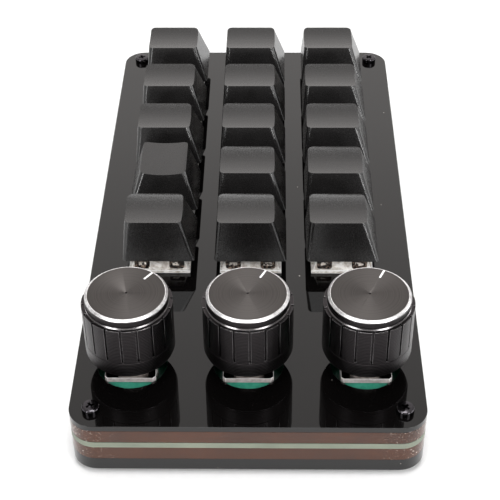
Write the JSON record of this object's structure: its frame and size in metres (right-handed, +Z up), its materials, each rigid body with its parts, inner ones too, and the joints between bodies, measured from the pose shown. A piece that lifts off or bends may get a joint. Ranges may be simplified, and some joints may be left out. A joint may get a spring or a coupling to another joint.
{
  "type": "macro keypad",
  "caption": "Desk keypad of blank sprung keys with a front row of knobs that turn and press, in a case of stacked plates and frames.",
  "frame": {"origin": "on the ground under the middle of the case", "axes": "+Z up, +X to the right and +Y away from the row of knobs"},
  "size_m": [0.0812, 0.1596, 0.0381],
  "materials": {
    "black_acrylic": "polished black acrylic",
    "tinted_acrylic": "clear acrylic with a brown tint, polished edges",
    "board_green": "green solder mask over glass-fibre board",
    "black_screw": "black oxide steel",
    "standoff_brass": "turned brass",
    "foot_rubber": "soft black rubber",
    "clear_housing": "milky clear polycarbonate",
    "plated_steel": "bright tin-plated steel",
    "black_moulding": "black moulded plastic",
    "encoder_green": "green moulded plastic",
    "keycap_black": "fine-textured black plastic",
    "stem_plastic": "smooth moulded plastic",
    "black_aluminium": "black anodised, spun top, bright cut chamfer"
  },
  "bodies": {
    "case": {"bottom_plate": "black_acrylic", "lower_frame": "tinted_acrylic", "circuit_board": "board_green", "upper_frame": "tinted_acrylic", "top_plate": "black_acrylic", "case_screws": "black_screw", "standoffs": "standoff_brass", "rubber_feet": "foot_rubber", "switch_bases": "clear_housing", "switch_covers": "clear_housing", "usb_shell": "plated_steel", "usb_tongue": "black_moulding", "controller_chip": "black_moulding", "board_diodes": "black_moulding", "encoder_bases": "encoder_green", "encoder_covers": "plated_steel"},
    "key_r1c1": {"keycap_r1c1": "keycap_black", "stem_r1c1": "stem_plastic"},
    "key_r1c2": {"keycap_r1c2": "keycap_black", "stem_r1c2": "stem_plastic"},
    "key_r1c3": {"keycap_r1c3": "keycap_black", "stem_r1c3": "stem_plastic"},
    "key_r2c1": {"keycap_r2c1": "keycap_black", "stem_r2c1": "stem_plastic"},
    "key_r2c2": {"keycap_r2c2": "keycap_black", "stem_r2c2": "stem_plastic"},
    "key_r2c3": {"keycap_r2c3": "keycap_black", "stem_r2c3": "stem_plastic"},
    "key_r3c1": {"keycap_r3c1": "keycap_black", "stem_r3c1": "stem_plastic"},
    "key_r3c2": {"keycap_r3c2": "keycap_black", "stem_r3c2": "stem_plastic"},
    "key_r3c3": {"keycap_r3c3": "keycap_black", "stem_r3c3": "stem_plastic"},
    "key_r4c1": {"keycap_r4c1": "keycap_black", "stem_r4c1": "stem_plastic"},
    "key_r4c2": {"keycap_r4c2": "keycap_black", "stem_r4c2": "stem_plastic"},
    "key_r4c3": {"keycap_r4c3": "keycap_black", "stem_r4c3": "stem_plastic"},
    "key_r5c1": {"keycap_r5c1": "keycap_black", "stem_r5c1": "stem_plastic"},
    "key_r5c2": {"keycap_r5c2": "keycap_black", "stem_r5c2": "stem_plastic"},
    "key_r5c3": {"keycap_r5c3": "keycap_black", "stem_r5c3": "stem_plastic"},
    "push_1": {"plunger_1": "black_moulding"},
    "turn_1": {"shaft_1": "plated_steel", "knob_1": "black_aluminium", "knob_insert_1": "black_moulding"},
    "push_2": {"plunger_2": "black_moulding"},
    "turn_2": {"shaft_2": "plated_steel", "knob_2": "black_aluminium", "knob_insert_2": "black_moulding"},
    "push_3": {"plunger_3": "black_moulding"},
    "turn_3": {"shaft_3": "plated_steel", "knob_3": "black_aluminium", "knob_insert_3": "black_moulding"}
  },
  "joints": [
    {"name": "press_r1c1", "type": "slide", "parent": "case", "child": "key_r1c1", "axis": [0, 0, -1], "range_m": [0, 0.004], "stiffness_N_per_m": 40, "springref_m": -0.0095},
    {"name": "press_r1c2", "type": "slide", "parent": "case", "child": "key_r1c2", "axis": [0, 0, -1], "range_m": [0, 0.004], "stiffness_N_per_m": 40, "springref_m": -0.0095},
    {"name": "press_r1c3", "type": "slide", "parent": "case", "child": "key_r1c3", "axis": [0, 0, -1], "range_m": [0, 0.004], "stiffness_N_per_m": 40, "springref_m": -0.0095},
    {"name": "press_r2c1", "type": "slide", "parent": "case", "child": "key_r2c1", "axis": [0, 0, -1], "range_m": [0, 0.004], "stiffness_N_per_m": 40, "springref_m": -0.0095},
    {"name": "press_r2c2", "type": "slide", "parent": "case", "child": "key_r2c2", "axis": [0, 0, -1], "range_m": [0, 0.004], "stiffness_N_per_m": 40, "springref_m": -0.0095},
    {"name": "press_r2c3", "type": "slide", "parent": "case", "child": "key_r2c3", "axis": [0, 0, -1], "range_m": [0, 0.004], "stiffness_N_per_m": 40, "springref_m": -0.0095},
    {"name": "press_r3c1", "type": "slide", "parent": "case", "child": "key_r3c1", "axis": [0, 0, -1], "range_m": [0, 0.004], "stiffness_N_per_m": 40, "springref_m": -0.0095},
    {"name": "press_r3c2", "type": "slide", "parent": "case", "child": "key_r3c2", "axis": [0, 0, -1], "range_m": [0, 0.004], "stiffness_N_per_m": 40, "springref_m": -0.0095},
    {"name": "press_r3c3", "type": "slide", "parent": "case", "child": "key_r3c3", "axis": [0, 0, -1], "range_m": [0, 0.004], "stiffness_N_per_m": 40, "springref_m": -0.0095},
    {"name": "press_r4c1", "type": "slide", "parent": "case", "child": "key_r4c1", "axis": [0, 0, -1], "range_m": [0, 0.004], "stiffness_N_per_m": 40, "springref_m": -0.0095},
    {"name": "press_r4c2", "type": "slide", "parent": "case", "child": "key_r4c2", "axis": [0, 0, -1], "range_m": [0, 0.004], "stiffness_N_per_m": 40, "springref_m": -0.0095},
    {"name": "press_r4c3", "type": "slide", "parent": "case", "child": "key_r4c3", "axis": [0, 0, -1], "range_m": [0, 0.004], "stiffness_N_per_m": 40, "springref_m": -0.0095},
    {"name": "press_r5c1", "type": "slide", "parent": "case", "child": "key_r5c1", "axis": [0, 0, -1], "range_m": [0, 0.004], "stiffness_N_per_m": 40, "springref_m": -0.0095},
    {"name": "press_r5c2", "type": "slide", "parent": "case", "child": "key_r5c2", "axis": [0, 0, -1], "range_m": [0, 0.004], "stiffness_N_per_m": 40, "springref_m": -0.0095},
    {"name": "press_r5c3", "type": "slide", "parent": "case", "child": "key_r5c3", "axis": [0, 0, -1], "range_m": [0, 0.004], "stiffness_N_per_m": 40, "springref_m": -0.0095},
    {"name": "knob_1_push", "type": "slide", "parent": "case", "child": "push_1", "axis": [0, 0, -1], "range_m": [0, 0.0005], "stiffness_N_per_m": 800, "springref_m": -0.002},
    {"name": "knob_1_turn", "type": "hinge", "parent": "push_1", "child": "turn_1", "pos_m": [-0.0273, -0.0596, 0.03], "axis": [0, 0, 1], "continuous": true},
    {"name": "knob_2_push", "type": "slide", "parent": "case", "child": "push_2", "axis": [0, 0, -1], "range_m": [0, 0.0005], "stiffness_N_per_m": 800, "springref_m": -0.002},
    {"name": "knob_2_turn", "type": "hinge", "parent": "push_2", "child": "turn_2", "pos_m": [0, -0.0596, 0.03], "axis": [0, 0, 1], "continuous": true},
    {"name": "knob_3_push", "type": "slide", "parent": "case", "child": "push_3", "axis": [0, 0, -1], "range_m": [0, 0.0005], "stiffness_N_per_m": 800, "springref_m": -0.002},
    {"name": "knob_3_turn", "type": "hinge", "parent": "push_3", "child": "turn_3", "pos_m": [0.0273, -0.0596, 0.03], "axis": [0, 0, 1], "continuous": true}
  ]
}
